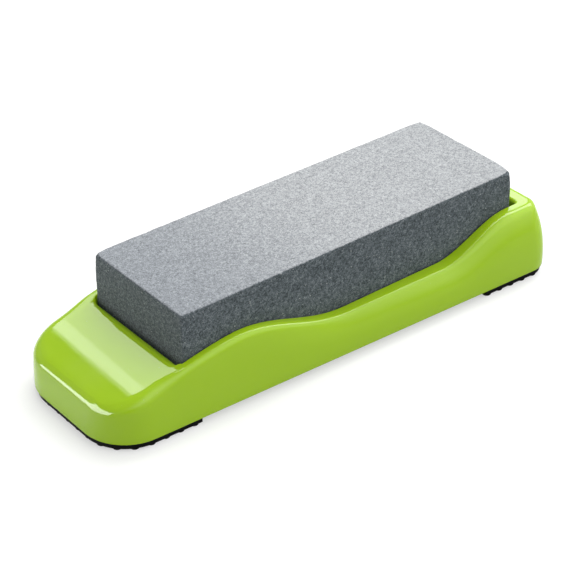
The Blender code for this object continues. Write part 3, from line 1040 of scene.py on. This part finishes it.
bench_bm = bmesh.new()
bmesh.ops.create_grid(bench_bm, x_segments=2, y_segments=2, size=BENCH_HALF)
material, tree, shader = new_material("bench_white")
shader.inputs["Roughness"].default_value = 1.0
shader.inputs["Specular IOR Level"].default_value = 0.0
shader.inputs["Emission Strength"].default_value = BENCH_GLOW
link = tree.links.new
ray = add_node(tree, "ShaderNodeLightPath")
place = add_node(tree, "ShaderNodeTexCoord")
split = add_node(tree, "ShaderNodeSeparateXYZ")
bounce = add_node(tree, "ShaderNodeMapRange", interpolation_type="SMOOTHSTEP", From_Min=-BENCH_CARD,
                  From_Max=0.0, To_Min=BENCH_BOUNCE_NEAR, To_Max=BENCH_BOUNCE_FAR)
tone = add_node(tree, "ShaderNodeMix", data_type="RGBA")
tone.inputs[COLOUR_B].default_value = BENCH_SEEN
glow = add_node(tree, "ShaderNodeMix", data_type="RGBA")
glow.inputs[COLOUR_A].default_value = (0.0, 0.0, 0.0, 1.0)
glow.inputs[COLOUR_B].default_value = (1.0, 1.0, 1.0, 1.0)
link(place.outputs["Object"], split.inputs["Vector"])
link(split.outputs["Y"], bounce.inputs["Value"])
link(bounce.outputs["Result"], tone.inputs[COLOUR_A])
link(ray.outputs["Is Camera Ray"], tone.inputs[0])
link(ray.outputs["Is Camera Ray"], glow.inputs[0])
link(tone.outputs[COLOUR_OUT], shader.inputs["Base Color"])
link(glow.outputs[COLOUR_OUT], shader.inputs["Emission Color"])
bench = as_object(bench_bm, "bench", material)

# ---------------------------------------------------------------------------
# Light
# Soft boxes overhead, behind and to the left, which the glossy rim, deck and nose mirror, and
# a pale room that is brighter in front and to the right than behind.
# ---------------------------------------------------------------------------
WATTS_PER_RADIANCE = 4.0
LAMP_DISTANCE = 1.2
LAMP_AIM = 0.012
deck_middle = Vector((holder_low.x + LAMP_AIM, 0.0, holder_high.z))


# Name, first and last direction, thickness in degrees, radiance, whether matt faces are lit
LAMPS = (
    ("behind", (0.035, 0.70, 0.68), (0.74, 0.46, 0.49), 16, 3.0, True),
    ("behind_edge", (0.056, 0.76, 0.61), (0.041, 0.63, 0.76), 2.4, 1.5, True),
    ("left", (-0.62, 0.70, 0.36), (-0.97, -0.20, 0.06), 38, 7.0, False),
    ("overhead", (0.02, 0.24, 0.97), (0.90, 0.02, 0.43), 15, 3.6, True))


def strip_lamp(name, first, last, thickness_degrees, radiance, lights_matt):
    """A flat lamp whose middle line runs between two directions as seen from the deck."""
    start = Vector(first).normalized() * LAMP_DISTANCE
    end = Vector(last).normalized() * LAMP_DISTANCE
    middle = (start + end) / 2
    along = (end - start).normalized()
    back = middle.normalized()
    across = back.cross(along)
    data = bpy.data.lights.new(name, "AREA")
    data.shape = "RECTANGLE"
    data.size = (end - start).length
    data.size_y = 2 * middle.length * math.tan(math.radians(thickness_degrees / 2))
    data.energy = WATTS_PER_RADIANCE * radiance * data.size * data.size_y
    lamp = bpy.data.objects.new(name, data)
    turn = Matrix((along, across, back)).transposed().to_4x4()
    lamp.matrix_world = Matrix.Translation(deck_middle + middle) @ turn
    lamp.visible_camera = False
    lamp.visible_diffuse = lights_matt
    bpy.context.scene.collection.objects.link(lamp)


for settings in LAMPS:
    strip_lamp(*settings)

# Brightness of the room's walls by the compass: back, left, front, right and back again
ROOM_WALLS = ((0.00, 0.42), (0.25, 0.95), (0.33, 0.60), (0.39, 0.15), (0.46, 0.70), (0.60, 1.50),
              (0.75, 1.30), (0.88, 0.55), (1.00, 0.42))
ROOM_HORIZON = 0.55
ROOM_TOP_FRONT = 1.90
ROOM_TOP_BACK = 0.42
ROOM_TOP_SIDE = (0.60, -0.80, 0.0)
ROOM_TOP_TURN = (-0.15, 0.50)
ROOM_TOP_RISE = (0.35, 0.65)
ROOM_WALL_RISE = (-0.02, 0.30)

world = bpy.data.worlds.new("room")
world.use_nodes = True
bpy.context.scene.world = world
tree = world.node_tree
link = tree.links.new
background = tree.nodes["Background"]
where = add_node(tree, "ShaderNodeTexCoord")
split = add_node(tree, "ShaderNodeSeparateXYZ")
front = add_node(tree, "ShaderNodeMath", operation="MULTIPLY")
front.inputs[1].default_value = -1.0
compass = add_node(tree, "ShaderNodeMath", operation="ARCTAN2")
turned = add_node(tree, "ShaderNodeMapRange", From_Min=-math.pi, From_Max=math.pi)
walls = add_node(tree, "ShaderNodeValToRGB")
stops = walls.color_ramp.elements
stops.remove(stops[1])
for index, (place, brightness) in enumerate(ROOM_WALLS):
    stop = stops[0] if index == 0 else stops.new(place)
    stop.color = (brightness, brightness, brightness, 1.0)
side = add_node(tree, "ShaderNodeVectorMath", operation="DOT_PRODUCT")
side.inputs[1].default_value = ROOM_TOP_SIDE
top = add_node(tree, "ShaderNodeMapRange", interpolation_type="SMOOTHSTEP",
               From_Min=ROOM_TOP_TURN[0], From_Max=ROOM_TOP_TURN[1],
               To_Min=ROOM_TOP_BACK, To_Max=ROOM_TOP_FRONT)
low = add_node(tree, "ShaderNodeMapRange", interpolation_type="SMOOTHSTEP",
               From_Min=ROOM_WALL_RISE[0], From_Max=ROOM_WALL_RISE[1])
room = add_node(tree, "ShaderNodeMix", data_type="RGBA")
room.inputs[COLOUR_A].default_value = (ROOM_HORIZON, ROOM_HORIZON, ROOM_HORIZON, 1.0)
height = add_node(tree, "ShaderNodeMapRange", interpolation_type="SMOOTHSTEP",
                  From_Min=ROOM_TOP_RISE[0], From_Max=ROOM_TOP_RISE[1])
sky = add_node(tree, "ShaderNodeMix", data_type="RGBA")
link(where.outputs["Generated"], split.inputs["Vector"])
link(split.outputs["Y"], front.inputs[0])
link(split.outputs["X"], compass.inputs[0])
link(front.outputs["Value"], compass.inputs[1])
link(compass.outputs["Value"], turned.inputs["Value"])
link(turned.outputs["Result"], walls.inputs["Fac"])
link(split.outputs["Z"], height.inputs["Value"])
link(height.outputs["Result"], sky.inputs[0])
link(split.outputs["Z"], low.inputs["Value"])
link(low.outputs["Result"], room.inputs[0])
link(walls.outputs["Color"], room.inputs[COLOUR_B])
link(room.outputs[COLOUR_OUT], sky.inputs[COLOUR_A])
link(where.outputs["Generated"], side.inputs[0])
link(side.outputs["Value"], top.inputs["Value"])
link(top.outputs["Result"], sky.inputs[COLOUR_B])
link(sky.outputs[COLOUR_OUT], background.inputs["Color"])
bpy.context.scene.view_settings.view_transform = "Standard"

# ---------------------------------------------------------------------------
# Camera
# It looks down on the nose and the near side with a long lens.
# ---------------------------------------------------------------------------
CAMERA_AZIMUTH = math.radians(39.493)
CAMERA_ELEVATION = math.radians(33.504)
CAMERA_ROLL = math.radians(0.308)
CAMERA_DISTANCE = 0.6541
CAMERA_LENS = 114.93
CAMERA_SENSOR = 36.0
CAMERA_TARGET = Vector((-0.00695, -0.00699, 0.0200))

look = Vector((math.sin(CAMERA_AZIMUTH) * math.cos(CAMERA_ELEVATION),
               math.cos(CAMERA_AZIMUTH) * math.cos(CAMERA_ELEVATION),
               -math.sin(CAMERA_ELEVATION)))
camera_data = bpy.data.cameras.new("camera")
camera_data.lens = CAMERA_LENS
camera_data.sensor_width = CAMERA_SENSOR
camera = bpy.data.objects.new("camera", camera_data)
turn = look.to_track_quat("-Z", "Y").to_matrix().to_4x4()
camera.matrix_world = (Matrix.Translation(CAMERA_TARGET - look * CAMERA_DISTANCE) @ turn
                       @ Matrix.Rotation(CAMERA_ROLL, 4, "Z"))
bpy.context.scene.collection.objects.link(camera)
bpy.context.scene.camera = camera
